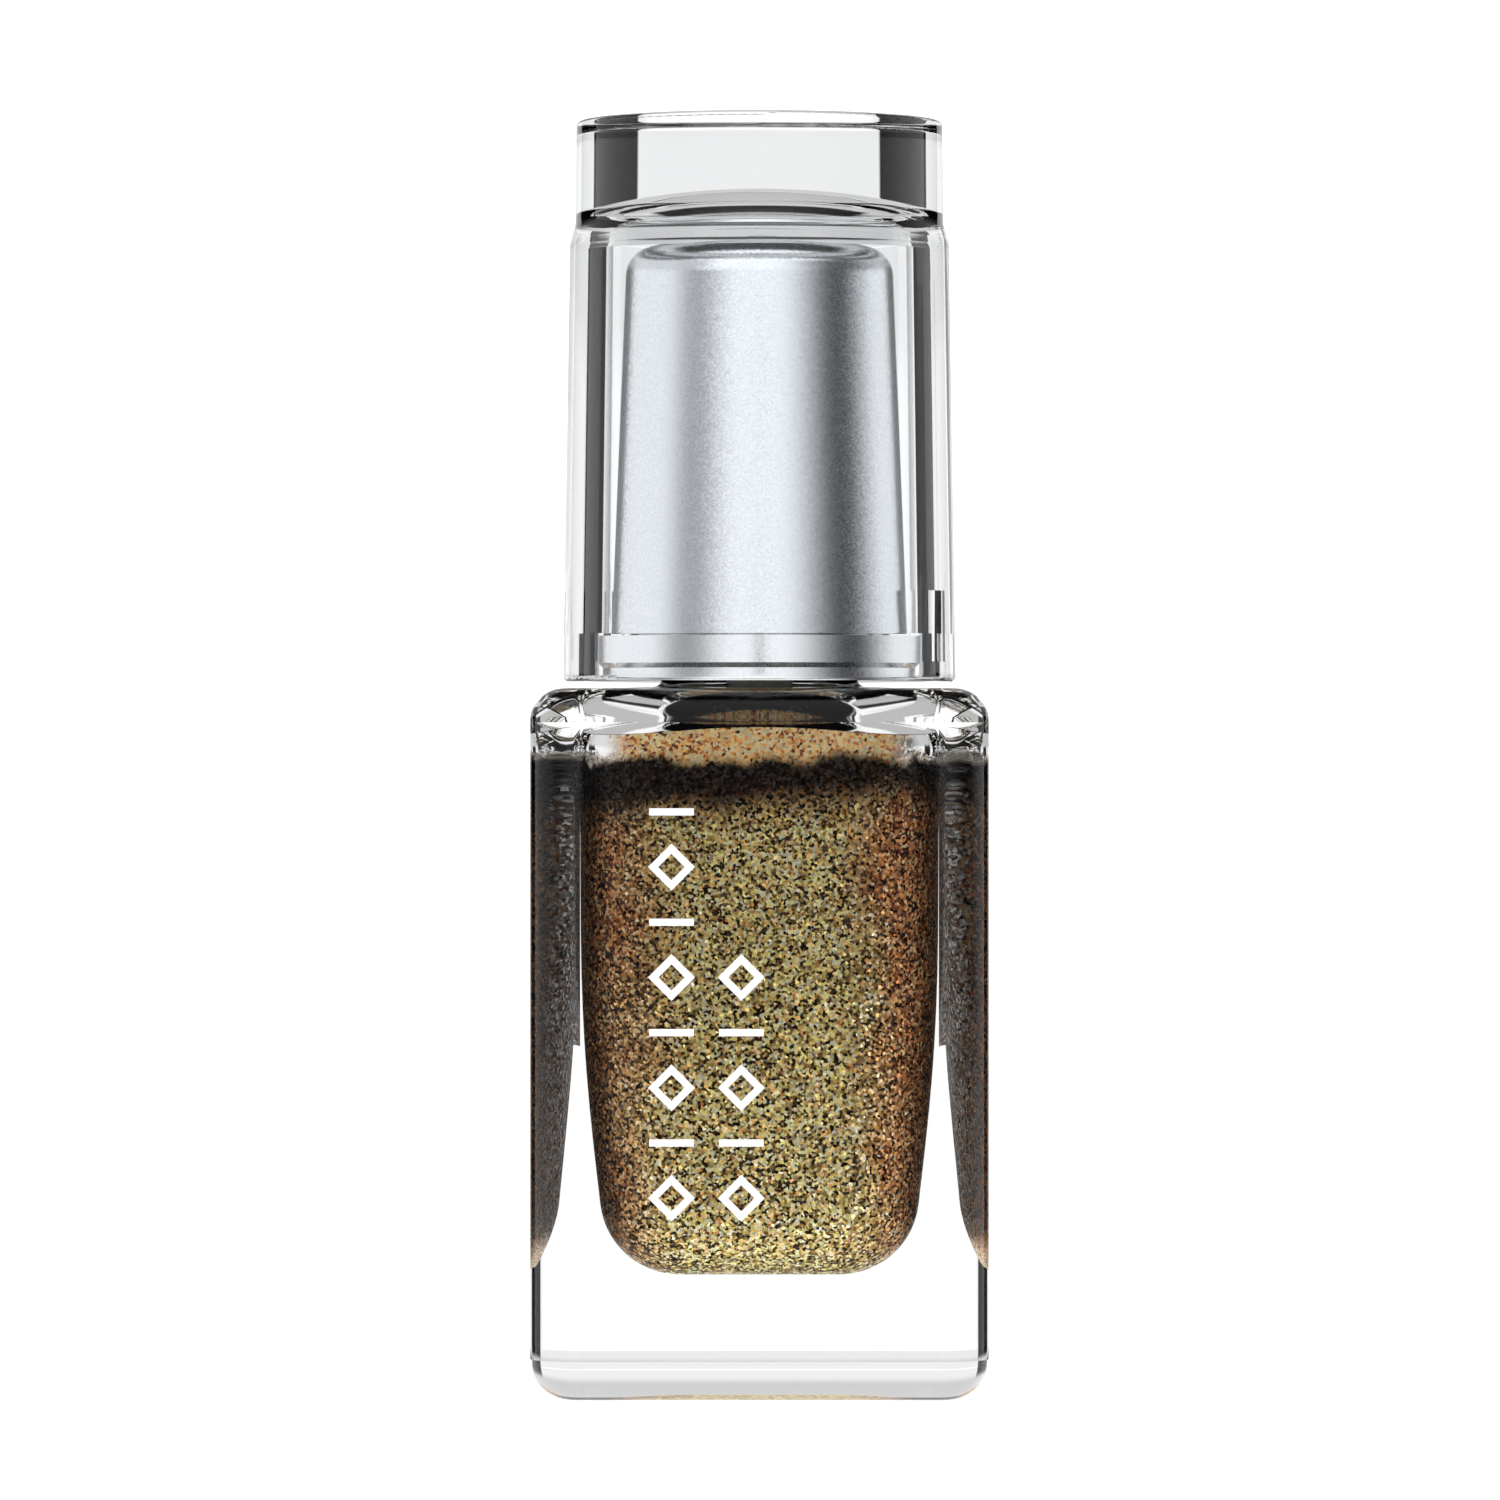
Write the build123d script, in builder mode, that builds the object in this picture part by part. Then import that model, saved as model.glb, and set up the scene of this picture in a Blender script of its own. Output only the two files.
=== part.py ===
"""Nail lacquer bottle: square glass bottle, screw closure with brush, and a clear overcap.

Millimetres, +Z up, origin at the middle of the face that the bottle stands on. The printed front
of the bottle faces -Y. The closure is screwed down, with the brush in the lacquer.
"""

import os
from math import cos, radians, sin

from build123d import *

os.makedirs("parts", exist_ok=True)

# ---- driving dimensions -------------------------------------------------------------------
# Glass body
body_width = 26.8
body_corner = 3.0
base_edge = 2.4
shoulder_edge = 2.0
shoulder_z = 41.5
shoulder_rise = 0.25
shoulder_dome_radius = 10.9
punt_radius = 8.0
punt_depth = 0.35

# Cavity: (height, width) of the rounded squares that it is lofted through
cavity_floor = 7.2
cavity_ceiling = 40.1
cavity_sections = [(cavity_floor, 17.7), (13.0, 19.0), (19.0, 20.2), (30.0, 20.9), (cavity_ceiling, 21.7)]
cavity_corner_share = 0.28
cavity_floor_round = 4.6
cavity_ceiling_round = 2.2
cavity_dome_sphere = 58.0
funnel_foot = 6.2
funnel_top = 42.6
fill_z = 40.7

# Neck finish, 13 mm class with a 12-turns-per-inch thread
neck_radius = 5.75
neck_bore = 3.5
lip_z = 53.0
lip_round = 0.7
neck_root_round = 0.6
pitch = 25.4 / 12
thread_turns = 1.5
male_crest = 6.45
male_half_base = 0.58
male_half_crest = 0.26
male_top_z = 51.3

# Closure
skirt_root = 6.65
female_crest = 5.98
female_half_base = 0.50
female_half_crest = 0.22
thread_bearing_gap = 0.10
female_turns = 1.25
flange_bottom = 42.05
flange_step_radius = 9.3
flange_step_z = 42.7
flange_top = 44.6
flange_radius = 9.6
skirt_outer_low = 7.75
skirt_outer_high = 7.25
skirt_top = 59.5
web_bottom = 54.6
web_top = 55.8
socket_outer = 3.3
socket_top = 63.6
socket_roof = 0.9
gusset_thickness = 0.7

# Silver sleeve
sleeve_bottom = 44.7
sleeve_low = 8.78
sleeve_high = 7.9
sleeve_shoulder_z = 67.2
sleeve_apex = 68.6
sleeve_wall = 0.45
sleeve_round = 1.8

# Clear overcap
cap_bottom = 41.95
cap_top = 75.2
cap_low = 11.67
cap_waist = 11.25
cap_waist_z = 68.0
cap_head = 10.92
cap_head_z = 69.1
cap_waist_round = 1.6
cap_high = 10.87
cap_top_round = 0.3
cap_rim_round = 0.3
cavity_low = 9.33
cavity_high = 9.06
ledge_z = 44.75
seat_radius = 9.8
dome_foot_z = 67.5
dome_apex = 71.0
lug_inner = 9.0
lug_width = 2.4
lug_bottom = 43.1
lug_top = 47.3
lug_angles = (76, 256)

# Seal, stem, staple, bristles, balls
seal_thickness = 0.7
seal_gap = 0.05
seal_radius = 5.5
seal_bore = 2.3
collar_radius = 5.4
stem_radius = 2.0
stem_tip_radius = 1.8
stem_end = 24.0
plug_radius = 2.18
plug_top = 62.5
tuft_radius = 1.2
tuft_top = 27.2
tuft_tip = 10.9
staple = (3.1, 0.35, 1.1)
staple_z = 25.9
brush_bore = 2.5
brush_bore_floor = 10.2
ball_radius = 2.25
ball_places = ((4.8, 2.7), (-4.4, 3.6))
ball_pocket_gap = 0.02

# Printed marks on the front
ink = 0.05
mark_size = 2.6
mark_stroke = 0.42
mark_pitch = 3.2
mark_columns = ((-5.1, 11.9, 8), (-1.05, 11.9, 5))


def save(builder, name):
    """Label a finished piece and write its STEP file."""
    builder.part.label = name
    export_step(builder.part, f"parts/{name}.step")


def front_angle(azimuth, radius, z=0.0):
    """A point at an angle from the front of the bottle, turning towards +X."""
    return (radius * sin(radians(azimuth)), -radius * cos(radians(azimuth)), z)


def thread_ridge(inner, outer, half_inner, half_outer, start_z, turns, start_angle):
    """A right-hand helical ridge with a trapezoid section, as its own part."""
    middle = (inner + outer) / 2
    with BuildPart() as ridge:
        with BuildLine() as path:
            Helix(pitch, pitch * turns, middle, center=(0, 0, start_z))
        with BuildSketch(Plane(origin=path.line @ 0, x_dir=(1, 0, 0), z_dir=path.line % 0)):
            with BuildLine():
                Polyline(
                    (inner - middle, -half_inner),
                    (outer - middle, -half_outer),
                    (outer - middle, half_outer),
                    (inner - middle, half_inner),
                    close=True,
                )
            make_face()
        sweep(path=path.line, is_frenet=True)
    return ridge.part.rotate(Axis.Z, start_angle)


def body_cavity(top):
    """The space inside the glass, up to a given height below the neck bore."""
    with BuildPart() as space:
        for height, width in cavity_sections:
            with BuildSketch(Plane.XY.offset(height)):
                RectangleRounded(width, width, width * cavity_corner_share)
        loft()
        fillet(space.faces().sort_by(Axis.Z)[0].edges(), cavity_floor_round)
        fillet(space.faces().sort_by(Axis.Z)[-1].edges(), cavity_ceiling_round)
        with Locations((0, 0, cavity_ceiling - cavity_dome_sphere)):
            Sphere(cavity_dome_sphere, mode=Mode.INTERSECT)
        with BuildSketch(Plane.XZ):
            with BuildLine():
                Polyline(
                    (0, cavity_ceiling - 1),
                    (funnel_foot, cavity_ceiling - 1),
                    (funnel_foot, cavity_ceiling - funnel_foot**2 / (2 * cavity_dome_sphere)),
                    (neck_bore, funnel_top),
                    (neck_bore, lip_z + 1),
                    (0, lip_z + 1),
                    close=True,
                )
            make_face()
        revolve(axis=Axis.Z)
        split(bisect_by=Plane.XY.offset(top), keep=Keep.BOTTOM)
    return space.part


# ---- glass bottle -------------------------------------------------------------------------
male_start_z = male_top_z - pitch * thread_turns
dome_sphere = (shoulder_dome_radius**2 + shoulder_rise**2) / (2 * shoulder_rise)
punt_sphere = (punt_radius**2 + punt_depth**2) / (2 * punt_depth)
root_radius = neck_radius + neck_root_round
root_z = shoulder_z + shoulder_rise - root_radius**2 / (2 * dome_sphere)

with BuildPart() as glass_bottle:
    with BuildSketch():
        RectangleRounded(body_width, body_width, body_corner)
    extrude(amount=shoulder_z)
    fillet(glass_bottle.faces().sort_by(Axis.Z)[0].edges(), base_edge)
    fillet(glass_bottle.faces().sort_by(Axis.Z)[-1].edges(), shoulder_edge)
    with BuildSketch(Plane.XZ):
        with BuildLine():
            Polyline(
                (0, lip_z),
                (0, shoulder_z - 1),
                (shoulder_dome_radius, shoulder_z - 1),
                (shoulder_dome_radius, shoulder_z),
            )
            Line((shoulder_dome_radius, shoulder_z), (root_radius, root_z))
            RadiusArc((root_radius, root_z), (neck_radius, root_z + neck_root_round), neck_root_round)
            Line((neck_radius, root_z + neck_root_round), (neck_radius, lip_z - lip_round))
            RadiusArc((neck_radius, lip_z - lip_round), (neck_radius - lip_round, lip_z), -lip_round)
            Line((neck_radius - lip_round, lip_z), (0, lip_z))
        make_face()
    revolve(axis=Axis.Z)
    add(body_cavity(lip_z + 0.5), mode=Mode.SUBTRACT)
    with BuildSketch(Plane.XZ):
        with BuildLine():
            Polyline((0, punt_depth), (0, -1), (punt_radius, -1), (punt_radius, 0))
            RadiusArc((punt_radius, 0), (0, punt_depth), -punt_sphere)
        make_face()
    revolve(axis=Axis.Z, mode=Mode.SUBTRACT)
    add(
        thread_ridge(
            neck_radius - 0.15,
            male_crest,
            male_half_base,
            male_half_crest,
            male_start_z,
            thread_turns,
            25,
        )
    )
save(glass_bottle, "glass_bottle")

# ---- mixing balls -------------------------------------------------------------------------
for number, (x, y) in enumerate(ball_places, start=1):
    with BuildPart() as mixing_ball:
        with Locations((x, y, cavity_floor + ball_radius + 0.25)):
            Sphere(ball_radius)
    save(mixing_ball, f"mixing_ball_{number}")

# ---- lacquer ------------------------------------------------------------------------------
with BuildPart() as lacquer:
    add(body_cavity(fill_z))
    with BuildSketch(Plane.XY.offset(brush_bore_floor)):
        Circle(brush_bore)
    extrude(amount=lip_z - brush_bore_floor, mode=Mode.SUBTRACT)
    for x, y in ball_places:
        with Locations((x, y, cavity_floor + ball_radius + 0.25)):
            Sphere(ball_radius + ball_pocket_gap, mode=Mode.SUBTRACT)
save(lacquer, "lacquer")

# ---- printed marks ------------------------------------------------------------------------
with BuildPart() as front_print:
    with BuildSketch(Plane.XZ.offset(body_width / 2)):
        for column_x, first_z, count in mark_columns:
            for index in range(count):
                place = (column_x, first_z + index * mark_pitch)
                if index % 2 == 0:
                    with Locations(place):
                        Rectangle(mark_size * 0.74, mark_size * 0.74, rotation=45)
                        inner = mark_size * 0.74 - 2 * mark_stroke
                        Rectangle(inner, inner, rotation=45, mode=Mode.SUBTRACT)
                else:
                    with Locations(place):
                        Rectangle(mark_size, mark_stroke)
    extrude(amount=ink)
save(front_print, "front_print")

# ---- threaded inner cap -------------------------------------------------------------------
seal_bottom = lip_z + seal_gap
seal_top = seal_bottom + seal_thickness
collar_bottom = seal_top + seal_gap
female_start_z = male_start_z - pitch / 2 + (
    pitch / 2 - (male_half_base + female_half_base) * 0.80 - thread_bearing_gap
)

with BuildPart() as inner_cap:
    with BuildSketch(Plane.XZ):
        with BuildLine():
            Polyline(
                (skirt_root + 0.35, flange_bottom),
                (flange_step_radius, flange_bottom),
                (flange_step_radius, flange_step_z),
                (flange_radius, flange_step_z + 0.3),
                (flange_radius, flange_top),
                (skirt_outer_low, flange_top),
                (skirt_outer_high, skirt_top),
                (skirt_outer_high - 0.9, skirt_top),
                (skirt_outer_high - 0.9, web_top),
                (socket_outer, web_top),
                (socket_outer, socket_top),
                (0, socket_top),
                (0, socket_top - socket_roof),
                (plug_radius + 0.02, socket_top - socket_roof),
                (plug_radius + 0.02, web_bottom),
                (skirt_root, web_bottom),
                (skirt_root, flange_bottom + 0.35),
                close=True,
            )
        make_face()
    revolve(axis=Axis.Z)
    with BuildSketch(Plane.XY.offset(web_top)):
        with PolarLocations((socket_outer + skirt_outer_high - 0.9) / 2, 6):
            Rectangle(skirt_outer_high - 0.6 - socket_outer, gusset_thickness)
    extrude(amount=skirt_top - web_top - 0.4)
    with PolarLocations(flange_radius, len(lug_angles), start_angle=lug_angles[0] - 90):
        Box(2.0, lug_width + 0.3, 2 * (flange_top + 0.2), mode=Mode.SUBTRACT)
    add(
        thread_ridge(
            female_crest,
            skirt_root + 0.15,
            female_half_crest,
            female_half_base,
            female_start_z,
            female_turns,
            10,
        )
    )
save(inner_cap, "inner_cap")

# ---- silver sleeve ------------------------------------------------------------------------
sleeve_dome = (sleeve_high**2 + (sleeve_apex - sleeve_shoulder_z) ** 2) / (
    2 * (sleeve_apex - sleeve_shoulder_z)
)

with BuildPart() as silver_sleeve:
    with BuildSketch(Plane.XZ):
        with BuildLine():
            Line((0, sleeve_bottom), (sleeve_low, sleeve_bottom))
            Line((sleeve_low, sleeve_bottom), (sleeve_high, sleeve_shoulder_z))
            RadiusArc((sleeve_high, sleeve_shoulder_z), (0, sleeve_apex), -sleeve_dome)
            Line((0, sleeve_apex), (0, sleeve_bottom))
        make_face()
    revolve(axis=Axis.Z)
    rim = silver_sleeve.edges().filter_by(GeomType.CIRCLE)
    fillet(rim.filter_by(lambda e: abs(e.radius - sleeve_high) < 1e-3), sleeve_round)
    offset(
        amount=-sleeve_wall,
        openings=silver_sleeve.faces().sort_by(Axis.Z)[0],
        kind=Kind.INTERSECTION,
    )
save(silver_sleeve, "silver_sleeve")

# ---- clear overcap ------------------------------------------------------------------------
lug_middle = (lug_inner + seat_radius + 0.5) / 2
ceiling_edge = cavity_high - 2.5
ceiling_edge_z = dome_foot_z + 2.6
ceiling_rise = dome_apex - ceiling_edge_z
ceiling_sphere = (ceiling_edge**2 + ceiling_rise**2) / (2 * ceiling_rise)

with BuildPart() as overcap:
    with BuildSketch(Plane.XZ):
        with BuildLine():
            Polyline(
                (0, cap_bottom),
                (cap_low, cap_bottom),
                (cap_waist, cap_waist_z),
                (cap_head, cap_head_z),
                (cap_high, cap_top),
                (0, cap_top),
                close=True,
            )
        make_face()
    revolve(axis=Axis.Z)
    top_edge = overcap.edges().filter_by(GeomType.CIRCLE).sort_by(Axis.Z)[-1]
    fillet(top_edge, cap_top_round)
    low_edge = overcap.edges().filter_by(GeomType.CIRCLE).sort_by(Axis.Z)[0]
    fillet(low_edge, cap_rim_round)
    step_edges = overcap.edges().filter_by(GeomType.CIRCLE).filter_by(
        lambda e: min(abs(e.radius - cap_waist), abs(e.radius - cap_head)) < 1e-3
    )
    fillet(step_edges, cap_waist_round)
    with BuildSketch(Plane.XZ):
        with BuildLine():
            Polyline(
                (0, cap_bottom - 1),
                (seat_radius + 0.2, cap_bottom - 1),
                (seat_radius + 0.2, cap_bottom),
                (seat_radius, cap_bottom + 0.3),
                (seat_radius, ledge_z),
                (cavity_low, ledge_z),
                (cavity_high, dome_foot_z),
            )
            ThreePointArc(
                (cavity_high, dome_foot_z),
                (cavity_high - 0.75, dome_foot_z + 1.75),
                (ceiling_edge, ceiling_edge_z),
            )
            RadiusArc((ceiling_edge, ceiling_edge_z), (0, dome_apex), -ceiling_sphere)
            Line((0, dome_apex), (0, cap_bottom - 1))
        make_face()
    revolve(axis=Axis.Z, mode=Mode.SUBTRACT)
    for angle in lug_angles:
        with BuildSketch(Plane.XY.offset(lug_bottom)):
            with Locations(Location(front_angle(angle, lug_middle), (0, 0, angle - 90))):
                Rectangle(2 * (lug_middle - lug_inner), lug_width)
        extrude(amount=lug_top - lug_bottom)
save(overcap, "overcap")

# ---- neck seal ----------------------------------------------------------------------------
with BuildPart() as neck_seal:
    with BuildSketch(Plane.XY.offset(seal_bottom)):
        Circle(seal_radius)
        Circle(seal_bore, mode=Mode.SUBTRACT)
    extrude(amount=seal_thickness)
save(neck_seal, "neck_seal")

# ---- brush --------------------------------------------------------------------------------
with BuildPart() as brush_stem:
    with BuildSketch(Plane.XZ):
        with BuildLine():
            Polyline(
                (0, stem_end),
                (stem_tip_radius - 0.25, stem_end),
                (stem_tip_radius, stem_end + 0.25),
                (stem_tip_radius, stem_end + 5.0),
                (stem_radius, stem_end + 11.0),
                (stem_radius, collar_bottom),
                (collar_radius, collar_bottom),
                (collar_radius, web_bottom - 0.02),
                (plug_radius - 0.04, web_bottom - 0.02),
                (plug_radius - 0.04, plug_top - 0.4),
                (plug_radius - 0.44, plug_top),
                (0, plug_top),
                close=True,
            )
        make_face()
    revolve(axis=Axis.Z)
    with BuildSketch(Plane.XY.offset(stem_end)):
        Circle(tuft_radius + 0.01)
    extrude(amount=tuft_top - stem_end + 0.01, mode=Mode.SUBTRACT)
    with Locations((0, 0, staple_z)):
        Box(staple[0] + 0.02, staple[1] + 0.02, staple[2] + 0.02, mode=Mode.SUBTRACT)
save(brush_stem, "brush_stem")

with BuildPart() as bristle_tuft:
    with BuildSketch(Plane.XZ):
        with BuildLine():
            Line((0, tuft_top), (tuft_radius, tuft_top))
            Line((tuft_radius, tuft_top), (tuft_radius, stem_end - 0.3))
            Spline(
                (tuft_radius, stem_end - 0.3),
                (1.55, 19.5),
                (1.85, 14.5),
                (1.45, tuft_tip + 1.0),
                (0, tuft_tip),
                tangents=((0, -1), (-1, 0)),
            )
            Line((0, tuft_tip), (0, tuft_top))
        make_face()
    revolve(axis=Axis.Z)
    with Locations((0, 0, staple_z)):
        Box(staple[0] + 0.02, staple[1] + 0.02, staple[2] + 0.02, mode=Mode.SUBTRACT)
save(bristle_tuft, "bristle_tuft")

with BuildPart() as bristle_staple:
    with Locations((0, 0, staple_z)):
        Box(*staple)
save(bristle_staple, "bristle_staple")
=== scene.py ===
"""Looks of a square glass lacquer bottle with a silver sleeved closure and a clear overcap."""

import math

import bpy
import numpy as np
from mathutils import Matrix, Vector


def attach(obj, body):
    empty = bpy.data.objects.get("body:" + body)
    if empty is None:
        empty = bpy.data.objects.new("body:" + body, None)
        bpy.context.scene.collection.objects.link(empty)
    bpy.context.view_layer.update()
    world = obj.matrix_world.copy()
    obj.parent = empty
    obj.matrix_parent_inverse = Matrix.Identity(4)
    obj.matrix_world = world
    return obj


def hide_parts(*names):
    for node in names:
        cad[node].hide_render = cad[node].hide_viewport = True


MM = 0.001
SEED = 7

# ---- brush tuft, millimetres --------------------------------------------------------------------
STEM_END = 24.0
TUFT_TOP = 27.1
TUFT_TIP = 11.0
TUFT_ROOT_RADIUS = 1.12
TUFT_BULGE = 0.62
TUFT_ROUNDING = 2.6
TIP_SCATTER = 0.5
FILAMENT_RADIUS = 0.045
FILAMENT_END_RADII = (0.036, 0.018)
FILAMENTS = 170
FILAMENT_SIDES = 6
FILAMENT_STEPS = 13
FILAMENT_PACKING = 0.96
# radians: from one filament to the next, and how far each may wander and sway
GOLDEN_ANGLE = 2.399963
WANDER = 0.1
SWAY = 0.05
# shares of the way from the stem's end to the tip, and of the radius that is left at the tip
BULGE_END = 0.75
CLOSING_START = 0.72
CLOSING_POWER = 2.2
TIP_SHARE = 0.18

# ---- camera, metres -----------------------------------------------------------------------------
CAMERA_DISTANCE = 0.565
CAMERA_HEIGHT = 0.0376
LENS = 228.3
SENSOR_WIDTH = 36
CAMERA_SHIFT = (-0.0063, 0.0033)
CAMERA_CLIP = (0.01, 20)

# ---- floor, metres ------------------------------------------------------------------------------
FLOOR_RADIUS = 3.0
FLOOR_HEIGHT = -0.0004
TABLE_RADIUS = 0.040
TABLE_HEIGHT = -0.0003
PAPER_GLOW = 1.1
PAPER_ROUGHNESS = 0.9
PAPER_SCALE = 8.0
FLOOR_SIDES = 96
PAPER_COLOURS = ((0.86, 0.86, 0.86), (0.88, 0.88, 0.88))

# ---- studio lights: degrees round the object, 0 behind it and 90 to the camera's right ------------
BACKGROUND = 1.4
LEVEL_LIGHTS = {"back": 0.87, "left": 0.98, "right": 0.98, "front": 1.04}
HIGH_LIGHTS = {"back": 0.62, "left": 0.78, "right": 0.62, "front": 1.20}
# where the back light gives way to the sides, and the sides to the front, degrees from the back
BACK_EDGE = (25, 58)
FRONT_EDGE = (112, 133)
# soft gaps between the lights: brightness, then where each starts, is full from, full to, and ends
LEVEL_GAPS = ((0.36, -162, -133, -127, -101), (0.06, 74, 113, 119, 167))
HIGH_GAPS = ((0.60, -145, -124, -120, -98), (0.08, 58, 105, 114, 170))
# dark flags, from and to
FLAGS = ((-54.5, -29.0), (29.5, 53.5))
FLAG_BRIGHTNESS = 0.01
FLAG_SOFTNESS = 0.46
# the dark slot behind the camera, and the brighter paper low behind the object
SLOT_HALF = 3.0
SLOT_BRIGHTNESS = 0.15
SLOT_SOFTNESS = 0.57
LOW_BACK_HALF = 27.0
LOW_BACK_BRIGHTNESS = 1.06
LOW_BACK_SOFTNESS = 1.72
DEEP_BRIGHTNESS = 0.52
OVERHEAD_FRONT = 1.30
OVERHEAD_BACK = 0.02
# heights where one layer of the sky gives way to the next, as the sine of the angle above level
DEEP_EDGE = (-0.34, -0.26)
SLOT_EDGE = (0.004, 0.010)
LOW_BACK_EDGE = (0.035, 0.045)
HIGH_EDGE = (0.12, 0.26)
OVERHEAD_EDGE = (0.61, 0.70)
# from front to back, where the overhead light ends
OVERHEAD_SPLIT = (-0.30, -0.05)

# ---- lacquer: places and heights in metres, and the scales of its textures --------------------------
FLAKE_SCALE = 6200.0
FLAKE_SLANT = 1.1
# where the painted red brown shade reaches in from the left and from the right
RED_LEFT = (-0.0095, -0.0040)
RED_RIGHT = (0.0042, 0.0085)
CLOUD_SCALE = 160.0
CLOUD_DRIFT = 0.006
# the painted dark band of shade under the fill line: its heights and its slope
BAND = (0.0341, 0.0372)
BAND_SLOPE = -0.05
FILM = (0.0381, 0.0390)
RIPPLE_SCALE = 500.0
RIPPLE_HEIGHT = 0.0022
# parts of the surface's normal: where a wall counts as facing aside and is painted darker, as bare, and
# as the ceiling
TURNED = (0.62, 0.95)
BARE_WALL = (0.45, 0.75)
CEILING = (0.80, 0.95)
# shares of full brightness left by painted shade: on the side walls, in the band, and on the left
SIDE_SHADE_BRIGHTNESS = 0.24
BAND_SHADE_BRIGHTNESS = 0.03
LEFT_SHADE_BRIGHTNESS = 0.62
# a flake's chance of being red, and how red it may be
RED_CHANCE = (0.50, 0.95)
RED_MOST = 0.80
# a flake's chance of being metal, and how metallic it is, here and where it is dulled
METAL_CHANCE = (0.25, 0.6)
METAL = (0.35, 1.0)
TURNED_METAL = 0.6
FILM_METAL = 0.15
FLAKE_ROUGHNESS = (0.22, 0.48)
TURNED_SHEEN = 0.02
MIRROR_COLOUR = (0.96, 0.96, 0.96)
MIRROR_ROUGHNESS = 0.05
MIRROR_METAL = 1.0
GLOSS = 0.5
# millimetres that the lacquer's visible skin reaches into the glass, so that no gap shows
LACQUER_SWELL = 0.04

# ---- lacquer flakes: share of the flakes, and the colour of each --------------------------------
GOLD_FLAKES = (
    (0.00, (0.006, 0.003, 0.001)),
    (0.18, (0.050, 0.030, 0.010)),
    (0.36, (0.420, 0.320, 0.085)),
    (0.62, (0.920, 0.780, 0.270)),
    (0.84, (1.000, 0.980, 0.600)),
    (1.00, (1.000, 1.000, 0.850)),
)
RED_FLAKES = (
    (0.00, (0.006, 0.002, 0.001)),
    (0.24, (0.050, 0.013, 0.006)),
    (0.44, (0.380, 0.120, 0.040)),
    (0.72, (0.860, 0.340, 0.110)),
    (0.92, (1.000, 0.640, 0.280)),
    (1.00, (1.000, 0.820, 0.500)),
)
FILM_FLAKES = (
    (0.00, (0.060, 0.012, 0.004)),
    (0.14, (0.550, 0.140, 0.035)),
    (0.32, (1.000, 0.500, 0.130)),
    (0.65, (1.000, 0.740, 0.330)),
    (1.00, (1.000, 0.920, 0.620)),
)

# ---- clear glass and plastic --------------------------------------------------------------------
CLEAR_SPECULAR = (0.4, 0.4, 0.4, 1)
SHADE_SCALE = 60.0
MARKS_SCALE = 900.0
MARKS = (0.66, 0.9)
MARKS_ROUGHNESS = 0.012


# ---- node helpers -------------------------------------------------------------------------------
def nodes_of(material):
    """Clear a material's node tree and return its nodes, its links and its shader."""
    material.use_nodes = True
    tree = material.node_tree
    tree.nodes.clear()
    output = tree.nodes.new("ShaderNodeOutputMaterial")
    shader = tree.nodes.new("ShaderNodeBsdfPrincipled")
    tree.links.new(shader.outputs["BSDF"], output.inputs["Surface"])
    return tree.nodes, tree.links, shader


def object_coordinates(nodes):
    """Object coordinates."""
    return nodes.new("ShaderNodeTexCoord").outputs["Object"]


def combine(nodes, links, operation, *values):
    """A math node's result. Each value is a number or another node's output."""
    node = nodes.new("ShaderNodeMath")
    node.operation = operation
    for socket, value in zip(node.inputs, values):
        if isinstance(value, (int, float)):
            socket.default_value = value
        else:
            links.new(value, socket)
    return node.outputs["Value"]


def separate(nodes, links, vector):
    """A vector's three outputs, by the names X, Y and Z."""
    node = nodes.new("ShaderNodeSeparateXYZ")
    links.new(vector, node.inputs["Vector"])
    return node.outputs


def scaled(nodes, links, vector, amount):
    """A vector or colour times an amount, which is a number or another node's output."""
    node = nodes.new("ShaderNodeVectorMath")
    node.operation = "SCALE"
    links.new(vector, node.inputs[0])
    if isinstance(amount, (int, float)):
        node.inputs["Scale"].default_value = amount
    else:
        links.new(amount, node.inputs["Scale"])
    return node.outputs["Vector"]


def noise(nodes, links, vector, scale, detail=2.0, roughness=0.5):
    """A noise texture's value."""
    texture = nodes.new("ShaderNodeTexNoise")
    texture.inputs["Scale"].default_value = scale
    texture.inputs["Detail"].default_value = detail
    texture.inputs["Roughness"].default_value = roughness
    links.new(vector, texture.inputs["Vector"])
    return texture.outputs["Fac"]


def cells(nodes, links, vector, scale):
    """Random cells: the colour of each cell, and its three channels as separate chances."""
    texture = nodes.new("ShaderNodeTexVoronoi")
    texture.inputs["Scale"].default_value = scale
    links.new(vector, texture.inputs["Vector"])
    channels = nodes.new("ShaderNodeSeparateColor")
    links.new(texture.outputs["Color"], channels.inputs["Color"])
    return texture.outputs["Color"], channels.outputs


def ramp(nodes, links, value, stops):
    """A colour ramp over a value. Stops are (position, colour)."""
    node = nodes.new("ShaderNodeValToRGB")
    elements = node.color_ramp.elements
    while len(elements) > 1:
        elements.remove(elements[-1])
    elements[0].position = stops[0][0]
    elements[0].color = (*stops[0][1], 1)
    for position, colour in stops[1:]:
        element = elements.new(position)
        element.color = (*colour, 1)
    links.new(value, node.inputs["Fac"])
    return node.outputs["Color"]


def span(nodes, links, value, low, high, to_low=0.0, to_high=1.0):
    """A value mapped from one range to another with soft ends, clamped."""
    node = nodes.new("ShaderNodeMapRange")
    node.interpolation_type = "SMOOTHSTEP"
    node.inputs["From Min"].default_value = low
    node.inputs["From Max"].default_value = high
    node.inputs["To Min"].default_value = to_low
    node.inputs["To Max"].default_value = to_high
    links.new(value, node.inputs["Value"])
    return node.outputs["Result"]


def inside(nodes, links, value, start, full_from, full_to, end):
    """1 where a value lies between two others, 0 outside, with a soft edge on each side."""
    rising = span(nodes, links, value, start, full_from)
    falling = span(nodes, links, value, full_to, end, 1.0, 0.0)
    return combine(nodes, links, "MULTIPLY", rising, falling)


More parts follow.
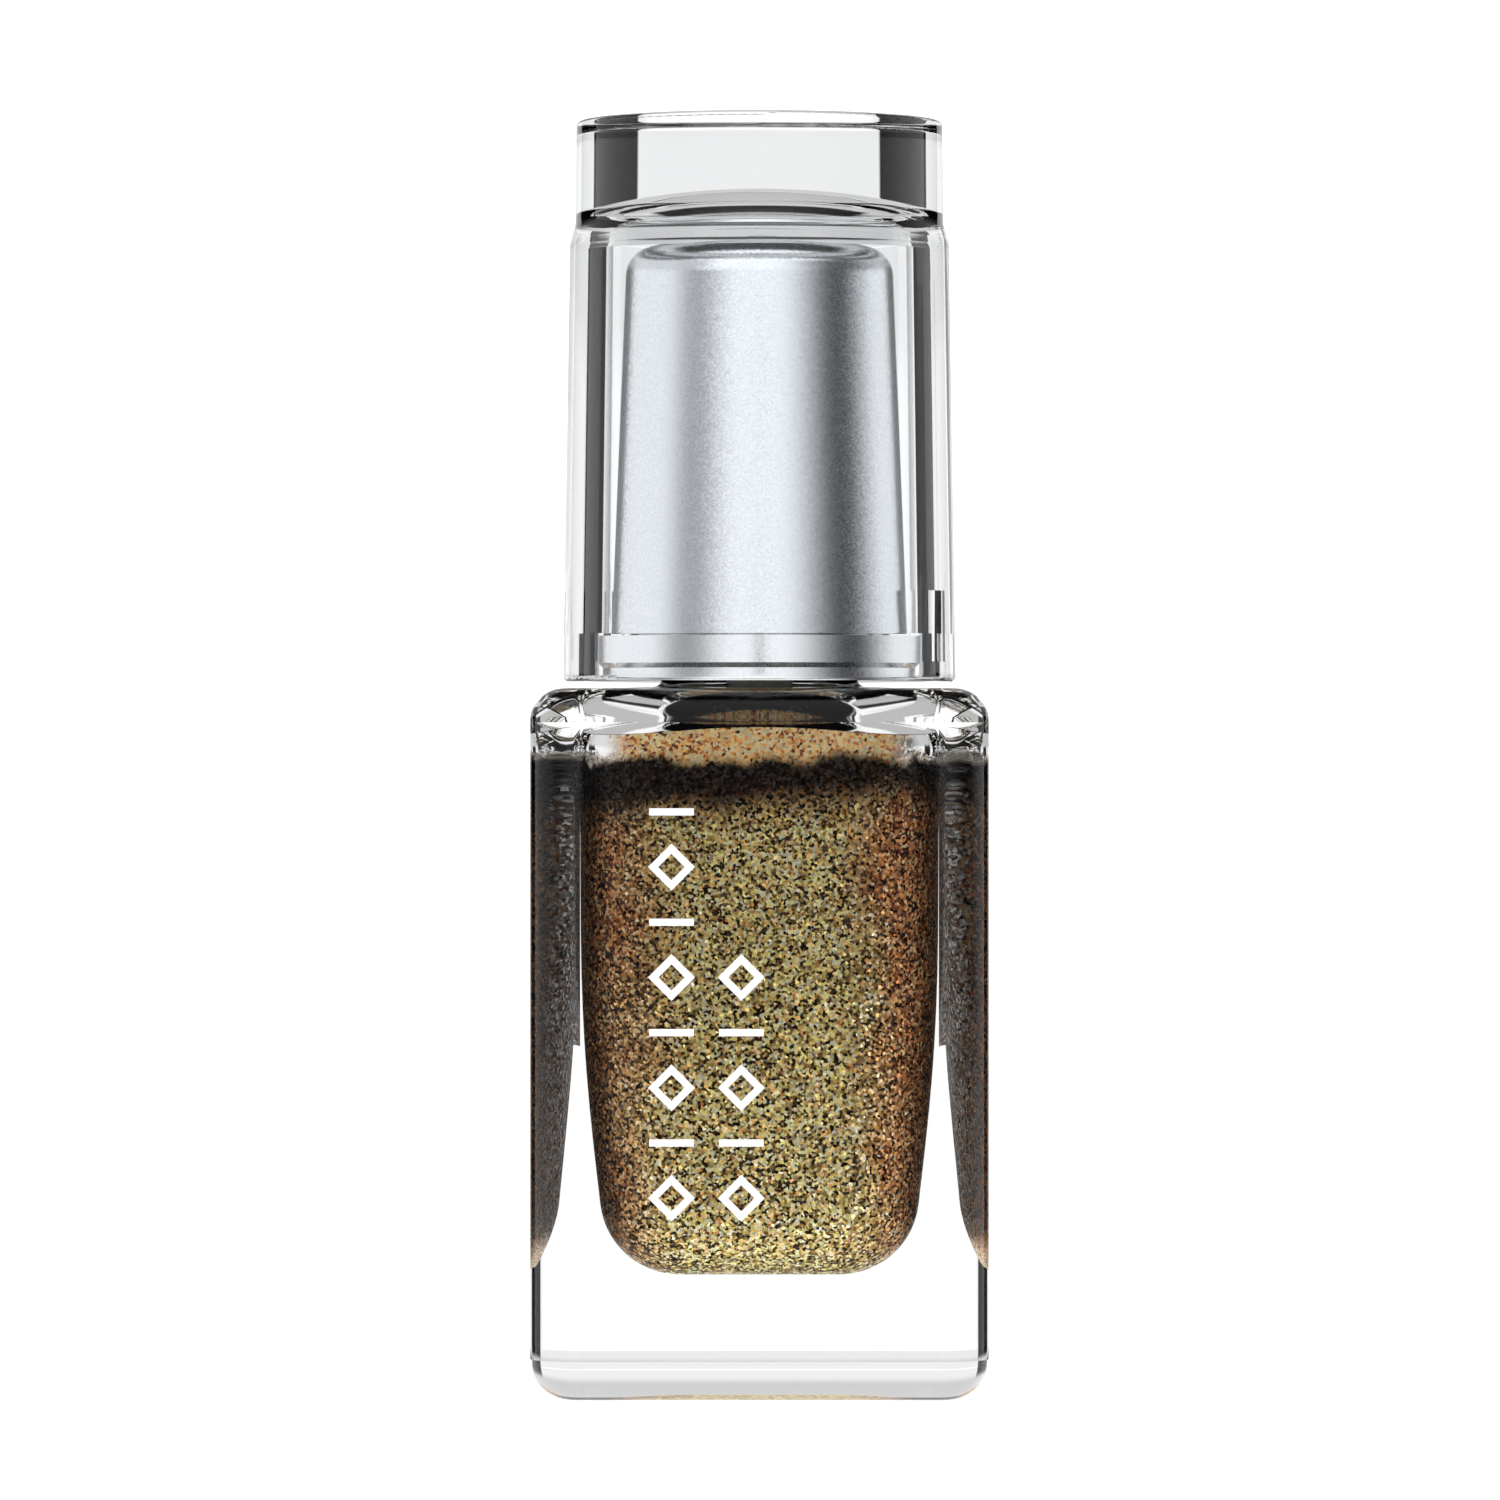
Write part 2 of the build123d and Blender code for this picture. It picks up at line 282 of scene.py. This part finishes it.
def bump(nodes, links, height, strength, distance):
    """A bump node's normal."""
    node = nodes.new("ShaderNodeBump")
    node.inputs["Strength"].default_value = strength
    node.inputs["Distance"].default_value = distance
    links.new(height, node.inputs["Height"])
    return node.outputs["Normal"]


def grey(brightness):
    """A grey of the given brightness."""
    return (brightness,) * 3


def mix(nodes, links, factor, a, b):
    """Two colours mixed by a value. Each is a colour or another node's output."""
    node = nodes.new("ShaderNodeMix")
    node.data_type = "RGBA"
    links.new(factor, node.inputs["Factor"])
    for socket, value in ((node.inputs[6], a), (node.inputs[7], b)):
        if isinstance(value, tuple):
            socket.default_value = (*value, 1)
        else:
            links.new(value, socket)
    return node.outputs[2]


def slanted_normal(nodes, links, chance, amount):
    """The surface's normal, leaned by a random colour, so that each grain lies at its own slant."""
    slant = nodes.new("ShaderNodeVectorMath")
    slant.operation = "SUBTRACT"
    slant.inputs[1].default_value = grey(0.5)
    links.new(chance, slant.inputs[0])
    geometry = nodes.new("ShaderNodeNewGeometry")
    lean = nodes.new("ShaderNodeVectorMath")
    lean.operation = "ADD"
    links.new(geometry.outputs["Normal"], lean.inputs[0])
    links.new(scaled(nodes, links, slant.outputs["Vector"], amount), lean.inputs[1])
    unit = nodes.new("ShaderNodeVectorMath")
    unit.operation = "NORMALIZE"
    links.new(lean.outputs["Vector"], unit.inputs[0])
    return unit.outputs["Vector"]


# ---- materials ----------------------------------------------------------------------------------
def clear_material(name, ior, tint, deep_tint, wave_scale, wave_height):
    """Clear glass or plastic with a slow wave in its surface and fine handling marks."""
    material = bpy.data.materials.new(name)
    nodes, links, shader = nodes_of(material)
    vector = object_coordinates(nodes)
    shade = noise(nodes, links, vector, SHADE_SCALE, 3.0)
    links.new(ramp(nodes, links, shade, ((0.3, tint), (0.7, deep_tint))), shader.inputs["Base Color"])
    shader.inputs["Transmission Weight"].default_value = 1.0
    shader.inputs["IOR"].default_value = ior
    shader.inputs["Specular Tint"].default_value = CLEAR_SPECULAR
    marks = noise(nodes, links, vector, MARKS_SCALE, 4.0, 0.7)
    links.new(span(nodes, links, marks, *MARKS, 0.0, MARKS_ROUGHNESS), shader.inputs["Roughness"])
    wave = noise(nodes, links, vector, wave_scale, 1.0)
    links.new(bump(nodes, links, wave, 1.0, wave_height), shader.inputs["Normal"])
    return material


def lacquer_material():
    """Gold lacquer of random metallic flakes with painted shade: red brown and darker at the sides,
    darker on walls facing aside and in a band under the fill line; a film above it.
    """
    material = bpy.data.materials.new("glitter_lacquer")
    nodes, links, shader = nodes_of(material)
    place = nodes.new("ShaderNodeTexCoord")
    vector = place.outputs["Object"]
    where = separate(nodes, links, vector)
    facing = separate(nodes, links, place.outputs["Normal"])
    flake_colour, chance = cells(nodes, links, vector, FLAKE_SCALE)

    # painted shade: brightness full on the flat front and back, low on the sides and the round corners
    sideways = combine(nodes, links, "ABSOLUTE", facing["X"])
    side_shade = span(nodes, links, sideways, *TURNED, 1.0, SIDE_SHADE_BRIGHTNESS)

    # painted shade: red brown, darker flakes to both sides, further in on the left, with slow clouds in
    # it
    cloud = noise(nodes, links, vector, CLOUD_SCALE)
    drift = combine(nodes, links, "MULTIPLY_ADD", cloud, CLOUD_DRIFT, -CLOUD_DRIFT / 2)
    drifted = combine(nodes, links, "ADD", where["X"], drift)
    left = span(nodes, links, drifted, *RED_LEFT, 1.0, 0.0)
    right = span(nodes, links, drifted, *RED_RIGHT)
    side = combine(nodes, links, "MAXIMUM", left, right)

    # a painted dark band of shade under the fill line, and above it a film that clings to the glass,
    # both rippled
    ripple = noise(nodes, links, vector, RIPPLE_SCALE, 3.0)
    level = combine(nodes, links, "MULTIPLY_ADD", ripple, RIPPLE_HEIGHT, where["Z"])
    sloping = combine(nodes, links, "MULTIPLY_ADD", where["X"], BAND_SLOPE, level)
    band = span(nodes, links, sloping, *BAND, 1.0, BAND_SHADE_BRIGHTNESS)
    film = span(nodes, links, level, *FILM)

    # each flake's colour: gold, or red for a share of the flakes, and red as painted shade at the sides
    # and in the band
    band_shade_red = combine(nodes, links, "SUBTRACT", 1.0, band)
    place_red = combine(nodes, links, "MAXIMUM", side, band_shade_red)
    flake_red = span(nodes, links, chance["Green"], *RED_CHANCE, 0.0, RED_MOST)
    redness = combine(nodes, links, "MAXIMUM", place_red, flake_red)
    gold = ramp(nodes, links, chance["Red"], GOLD_FLAKES)
    red = ramp(nodes, links, chance["Red"], RED_FLAKES)
    film_colour = ramp(nodes, links, chance["Red"], FILM_FLAKES)
    # painted shade: darker on the left, and darker still on the walls facing aside and in the band
    left_shade = span(nodes, links, left, 0.0, 1.0, 1.0, LEFT_SHADE_BRIGHTNESS)
    flat_shade = combine(nodes, links, "MULTIPLY", left_shade, band)
    shade = combine(nodes, links, "MULTIPLY", flat_shade, side_shade)
    body = scaled(nodes, links, mix(nodes, links, redness, gold, red), shade)
    skin = mix(nodes, links, film, body, film_colour)

    # under the ceiling and on the bare side walls the air inside turns the light back like a mirror
    bare = combine(nodes, links, "MULTIPLY", film, span(nodes, links, sideways, *BARE_WALL))
    ceiling = span(nodes, links, facing["Z"], *CEILING)
    mirror = combine(nodes, links, "MAXIMUM", ceiling, bare)
    links.new(mix(nodes, links, mirror, skin, MIRROR_COLOUR), shader.inputs["Base Color"])
    geometry = nodes.new("ShaderNodeNewGeometry")
    normal = nodes.new("ShaderNodeMix")
    normal.data_type = "VECTOR"
    links.new(mirror, normal.inputs["Factor"])
    links.new(slanted_normal(nodes, links, flake_colour, FLAKE_SLANT), normal.inputs[4])
    links.new(geometry.outputs["Normal"], normal.inputs[5])
    links.new(normal.outputs[1], shader.inputs["Normal"])

    # painted shade: the flakes are duller on the sides; they are also duller in the film
    side_metal = span(nodes, links, side_shade, SIDE_SHADE_BRIGHTNESS, 1.0, TURNED_METAL, 1.0)
    film_metal = span(nodes, links, film, 0.0, 1.0, 1.0, FILM_METAL)
    place_metal = combine(nodes, links, "MULTIPLY", side_metal, film_metal)
    flake_metal = span(nodes, links, chance["Green"], *METAL_CHANCE, *METAL)
    metal = combine(nodes, links, "MULTIPLY", flake_metal, place_metal)
    rough = span(nodes, links, chance["Blue"], 0.0, 1.0, *FLAKE_ROUGHNESS)
    for value, mirrored, socket in (
        (rough, MIRROR_ROUGHNESS, "Roughness"),
        (metal, MIRROR_METAL, "Metallic"),
    ):
        blend = nodes.new("ShaderNodeMix")
        links.new(mirror, blend.inputs["Factor"])
        links.new(value, blend.inputs[2])
        blend.inputs[3].default_value = mirrored
        links.new(blend.outputs[0], shader.inputs[socket])

    # painted shade: the sides keep no bright sheen at a low angle, and less gloss
    side_sheen = span(nodes, links, side_shade, SIDE_SHADE_BRIGHTNESS, 1.0, TURNED_SHEEN, 1.0)
    sheen = combine(nodes, links, "MAXIMUM", side_sheen, mirror)
    links.new(sheen, shader.inputs["Specular Tint"])
    gloss = combine(nodes, links, "MULTIPLY", side_shade, GLOSS)
    links.new(gloss, shader.inputs["Specular IOR Level"])
    return material


def satin_metal(name, light, dark, roughness, grain_scale, sparkle, anisotropy=0.0):
    """Satin metal: fine grains that each lie at a slightly different slant."""
    material = bpy.data.materials.new(name)
    nodes, links, shader = nodes_of(material)
    shader.inputs["Metallic"].default_value = 1.0
    shader.inputs["Anisotropic"].default_value = anisotropy
    grain_colour, chance = cells(nodes, links, object_coordinates(nodes), grain_scale)
    links.new(
        ramp(nodes, links, chance["Red"], ((0.2, dark), (0.9, light))),
        shader.inputs["Base Color"],
    )
    links.new(
        span(nodes, links, chance["Green"], 0.0, 1.0, roughness - 0.04, roughness + 0.05),
        shader.inputs["Roughness"],
    )
    links.new(slanted_normal(nodes, links, grain_colour, sparkle), shader.inputs["Normal"])
    return material


def plain_surface(name, light, dark, roughness, scale, height):
    """A matte or glossy surface with a fine mottle and a fine relief."""
    material = bpy.data.materials.new(name)
    nodes, links, shader = nodes_of(material)
    mottle = noise(nodes, links, object_coordinates(nodes), scale, 4.0, 0.6)
    links.new(ramp(nodes, links, mottle, ((0.3, dark), (0.7, light))), shader.inputs["Base Color"])
    links.new(
        span(nodes, links, mottle, 0.3, 0.7, roughness - 0.06, roughness + 0.06),
        shader.inputs["Roughness"],
    )
    links.new(bump(nodes, links, mottle, 0.4, height), shader.inputs["Normal"])
    return material


def set_material(obj, material):
    """Give every slot of an object one material."""
    if not obj.data.materials:
        obj.data.materials.append(material)
    for slot in obj.material_slots:
        slot.material = material


# ---- meshes -------------------------------------------------------------------------------------
def swollen_copy(source, name, amount):
    """A copy of a solid's mesh with every point moved out along its normal."""
    mesh = source.data.copy()
    mesh.name = name
    points = np.empty(len(mesh.vertices) * 3)
    mesh.vertices.foreach_get("co", points)
    points = points.reshape(-1, 3)
    corner_normals = np.empty(len(mesh.loops) * 3)
    mesh.corner_normals.foreach_get("vector", corner_normals)
    corner_points = np.empty(len(mesh.loops), dtype=np.int64)
    mesh.loops.foreach_get("vertex_index", corner_points)
    total = np.zeros_like(points)
    np.add.at(total, corner_points, corner_normals.reshape(-1, 3))
    lengths = np.linalg.norm(total, axis=1, keepdims=True)
    points += total / np.maximum(lengths, 1e-9) * amount
    mesh.vertices.foreach_set("co", points.ravel())
    mesh.update()
    obj = bpy.data.objects.new(name, mesh)
    bpy.context.scene.collection.objects.link(obj)
    return obj


def filament(path, radii, points, faces):
    """Add one round filament along a path to a list of points and faces."""
    first = len(points)
    count = len(path)
    for index in range(count):
        ahead = path[min(index + 1, count - 1)] - path[max(index - 1, 0)]
        ahead.normalize()
        across = ahead.cross(Vector((0, 1, 0.3))).normalized()
        other = ahead.cross(across)
        for step in range(FILAMENT_SIDES):
            turn = 2 * math.pi * step / FILAMENT_SIDES
            offset = (across * math.cos(turn) + other * math.sin(turn)) * radii[index]
            points.append(path[index] + offset)
    for index in range(count - 1):
        for step in range(FILAMENT_SIDES):
            following = (step + 1) % FILAMENT_SIDES
            low = first + index * FILAMENT_SIDES
            high = low + FILAMENT_SIDES
            faces.append((low + step, low + following, high + following, high + step))
    last = first + (count - 1) * FILAMENT_SIDES
    faces.append(tuple(first + step for step in reversed(range(FILAMENT_SIDES))))
    faces.append(tuple(last + step for step in range(FILAMENT_SIDES)))


def tuft_outline(height):
    """The tuft's radius at a height, millimetres: it bulges below the stem and closes to a round tip."""
    if height >= STEM_END:
        return TUFT_ROOT_RADIUS
    share = (STEM_END - height) / (STEM_END - TUFT_TIP)
    bulge = TUFT_ROOT_RADIUS + TUFT_BULGE * math.sin(min(share / BULGE_END, 1.0) * math.pi / 2)
    closing = max(0.0, (share - CLOSING_START) / (1 - CLOSING_START))
    open_share = math.sqrt(max(0.0, 1 - closing**CLOSING_POWER))
    return bulge * (TIP_SHARE + (1 - TIP_SHARE) * open_share)


def bristles():
    """The tuft as separate filaments, from inside the stem to the rounded tip."""
    chance = np.random.default_rng(SEED)
    radii = [FILAMENT_RADIUS * MM] * (FILAMENT_STEPS - len(FILAMENT_END_RADII))
    radii += [radius * MM for radius in FILAMENT_END_RADII]
    points = []
    faces = []
    for index in range(FILAMENTS):
        share = math.sqrt((index + 0.5) / FILAMENTS)
        turn = index * GOLDEN_ANGLE + chance.uniform(-WANDER, WANDER)
        tip = TUFT_TIP + TUFT_ROUNDING * share**3 + chance.uniform(0, TIP_SCATTER)
        sway = chance.uniform(-SWAY, SWAY)
        path = []
        for step in range(FILAMENT_STEPS):
            height = TUFT_TOP + (tip - TUFT_TOP) * step / (FILAMENT_STEPS - 1)
            radius = tuft_outline(height) * share * FILAMENT_PACKING
            angle = turn + sway * step / FILAMENT_STEPS
            path.append(Vector((radius * math.cos(angle), radius * math.sin(angle), height)) * MM)
        filament(path, radii, points, faces)
    mesh = bpy.data.meshes.new("bristle_filaments")
    mesh.from_pydata([tuple(point) for point in points], [], faces)
    mesh.update()
    mesh.polygons.foreach_set("use_smooth", [True] * len(mesh.polygons))
    obj = bpy.data.objects.new("bristle_filaments", mesh)
    bpy.context.scene.collection.objects.link(obj)
    return obj


# ---- studio -------------------------------------------------------------------------------------
def floors():
    """A wide pale floor that only the camera sees, and a small table that everything sees."""
    material = bpy.data.materials.new("studio_paper")
    nodes, links, shader = nodes_of(material)
    mottle = noise(nodes, links, object_coordinates(nodes), PAPER_SCALE)
    stops = ((0.3, PAPER_COLOURS[0]), (0.7, PAPER_COLOURS[1]))
    links.new(ramp(nodes, links, mottle, stops), shader.inputs["Base Color"])
    shader.inputs["Roughness"].default_value = PAPER_ROUGHNESS
    shader.inputs["Specular IOR Level"].default_value = 0.0
    shader.inputs["Emission Color"].default_value = (1, 1, 1, 1)
    shader.inputs["Emission Strength"].default_value = PAPER_GLOW
    for name, radius, height, seen_in_glass in (
        ("studio_floor", FLOOR_RADIUS, FLOOR_HEIGHT, False),
        ("studio_table", TABLE_RADIUS, TABLE_HEIGHT, True),
    ):
        bpy.ops.mesh.primitive_circle_add(vertices=FLOOR_SIDES, radius=radius, fill_type="TRIFAN")
        floor = bpy.context.object
        floor.name = name
        floor.location = (0, 0, height)
        floor.data.materials.append(material)
        floor.visible_glossy = seen_in_glass
        floor.visible_transmission = seen_in_glass


def lights_round(nodes, links, angle, lights, gaps):
    """Brightness round the object: four lights that run into each other, with soft gaps in them."""
    from_back = combine(nodes, links, "ABSOLUTE", angle)
    to_right = span(nodes, links, angle, -BACK_EDGE[0], BACK_EDGE[0])
    side = mix(nodes, links, to_right, grey(lights["left"]), grey(lights["right"]))
    sky = mix(nodes, links, span(nodes, links, from_back, *BACK_EDGE), grey(lights["back"]), side)
    sky = mix(nodes, links, span(nodes, links, from_back, *FRONT_EDGE), sky, grey(lights["front"]))
    for brightness, *edges in gaps:
        gap = inside(nodes, links, angle, *edges)
        sky = mix(nodes, links, gap, sky, grey(brightness))
    return sky


def sky_light(nodes, links):
    """The sky that the glass and the silver see, in layers from below the object to overhead."""
    place = nodes.new("ShaderNodeTexCoord")
    axes = separate(nodes, links, place.outputs["Generated"])
    height = axes["Z"]
    turn = combine(nodes, links, "ARCTAN2", axes["X"], axes["Y"])
    angle = combine(nodes, links, "DEGREES", turn)
    from_back = combine(nodes, links, "ABSOLUTE", angle)
    level = lights_round(nodes, links, angle, LEVEL_LIGHTS, LEVEL_GAPS)
    high = lights_round(nodes, links, angle, HIGH_LIGHTS, HIGH_GAPS)
    behind = span(nodes, links, axes["Y"], *OVERHEAD_SPLIT)
    overhead = mix(nodes, links, behind, grey(OVERHEAD_FRONT), grey(OVERHEAD_BACK))

    paper_edge = (LOW_BACK_HALF - LOW_BACK_SOFTNESS, LOW_BACK_HALF + LOW_BACK_SOFTNESS)
    aside = span(nodes, links, from_back, *paper_edge)
    low = mix(nodes, links, aside, grey(LOW_BACK_BRIGHTNESS), level)
    sky = mix(nodes, links, span(nodes, links, height, *LOW_BACK_EDGE), low, level)
    slot_edge = (180 - SLOT_HALF - SLOT_SOFTNESS, 180 - SLOT_HALF + SLOT_SOFTNESS)
    slot = mix(nodes, links, span(nodes, links, from_back, *slot_edge), sky, grey(SLOT_BRIGHTNESS))
    sky = mix(nodes, links, span(nodes, links, height, *SLOT_EDGE), slot, sky)
    sky = mix(nodes, links, span(nodes, links, height, *DEEP_EDGE), grey(DEEP_BRIGHTNESS), sky)
    for start, end in FLAGS:
        edges = (start - FLAG_SOFTNESS, start + FLAG_SOFTNESS, end - FLAG_SOFTNESS, end + FLAG_SOFTNESS)
        flag = inside(nodes, links, angle, *edges)
        sky = mix(nodes, links, flag, sky, grey(FLAG_BRIGHTNESS))
    sky = mix(nodes, links, span(nodes, links, height, *HIGH_EDGE), sky, high)
    return mix(nodes, links, span(nodes, links, height, *OVERHEAD_EDGE), sky, overhead)


def studio_sky():
    """The world: plain white paper to the camera, and the studio's lights to everything else."""
    world = bpy.data.worlds.new("studio_sky")
    bpy.context.scene.world = world
    world.use_nodes = True
    nodes = world.node_tree.nodes
    links = world.node_tree.links
    nodes.clear()
    output = nodes.new("ShaderNodeOutputWorld")
    light = nodes.new("ShaderNodeBackground")
    links.new(sky_light(nodes, links), light.inputs["Color"])
    paper = nodes.new("ShaderNodeBackground")
    paper.inputs["Color"].default_value = (1, 1, 1, 1)
    paper.inputs["Strength"].default_value = BACKGROUND
    ray = nodes.new("ShaderNodeLightPath")
    either = nodes.new("ShaderNodeMixShader")
    links.new(ray.outputs["Is Camera Ray"], either.inputs["Fac"])
    links.new(light.outputs["Background"], either.inputs[1])
    links.new(paper.outputs["Background"], either.inputs[2])
    links.new(either.outputs["Shader"], output.inputs["Surface"])


def camera():
    """The camera, straight in front of the bottle and level with its middle."""
    data = bpy.data.cameras.new("camera")
    data.lens = LENS
    data.sensor_width = SENSOR_WIDTH
    data.shift_x, data.shift_y = CAMERA_SHIFT
    data.clip_start, data.clip_end = CAMERA_CLIP
    obj = bpy.data.objects.new("camera", data)
    bpy.context.scene.collection.objects.link(obj)
    obj.location = (0, -CAMERA_DISTANCE, CAMERA_HEIGHT)
    obj.rotation_euler = (math.pi / 2, 0, 0)
    bpy.context.scene.camera = obj


# ---- the scene ----------------------------------------------------------------------------------
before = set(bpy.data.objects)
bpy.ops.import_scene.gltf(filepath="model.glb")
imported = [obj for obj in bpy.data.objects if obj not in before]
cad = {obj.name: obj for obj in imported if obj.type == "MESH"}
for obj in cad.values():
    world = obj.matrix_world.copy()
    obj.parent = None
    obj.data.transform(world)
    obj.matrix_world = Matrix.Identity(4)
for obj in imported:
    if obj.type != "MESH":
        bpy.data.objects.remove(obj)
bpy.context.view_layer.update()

clear_glass = clear_material(
    "clear_flint_glass", 1.5, (0.988, 0.992, 0.990), (0.975, 0.982, 0.978), 70.0, 0.000005
)
clear_acrylic = clear_material(
    "clear_acrylic", 1.49, (0.980, 0.989, 0.998), (0.970, 0.981, 0.992), 90.0, 0.000003
)
glitter = lacquer_material()
sleeve_silver = satin_metal(
    "satin_silver", (0.94, 0.965, 0.995), (0.86, 0.89, 0.93), 0.22, 11000.0, 0.065, 0.3
)
coated_silver = satin_metal(
    "coated_silver", (0.95, 0.97, 0.99), (0.90, 0.92, 0.94), 0.20, 12000.0, 0.03
)
polished_steel = satin_metal(
    "polished_steel", (0.70, 0.70, 0.71), (0.62, 0.62, 0.63), 0.12, 4000.0, 0.03
)
white_ink = plain_surface("white_ink", (0.95, 0.95, 0.94), (0.86, 0.86, 0.85), 0.5, 3000.0, 0.00001)
foam = plain_surface("seal_foam", (0.90, 0.90, 0.88), (0.78, 0.78, 0.76), 0.7, 2500.0, 0.00003)
natural_plastic = plain_surface(
    "natural_plastic", (0.90, 0.90, 0.88), (0.82, 0.82, 0.80), 0.35, 1200.0, 0.00001
)
dark_nylon = plain_surface(
    "dark_nylon", (0.060, 0.045, 0.035), (0.020, 0.015, 0.012), 0.3, 1800.0, 0.00001
)

for node, material in (
    ("glass_bottle", clear_glass),
    ("overcap", clear_acrylic),
    ("silver_sleeve", sleeve_silver),
    ("inner_cap", coated_silver),
    ("neck_seal", foam),
    ("brush_stem", natural_plastic),
    ("bristle_staple", polished_steel),
    ("mixing_ball_1", polished_steel),
    ("mixing_ball_2", polished_steel),
    ("front_print", white_ink),
):
    set_material(cad[node], material)

liquid = swollen_copy(cad["lacquer"], "lacquer_fill", LACQUER_SWELL * MM)
set_material(liquid, glitter)
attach(liquid, "bottle")
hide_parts("lacquer")

tuft = bristles()
set_material(tuft, dark_nylon)
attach(tuft, "brush")
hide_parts("bristle_tuft")

floors()
studio_sky()
camera()
bpy.context.scene.view_settings.view_transform = "Standard"
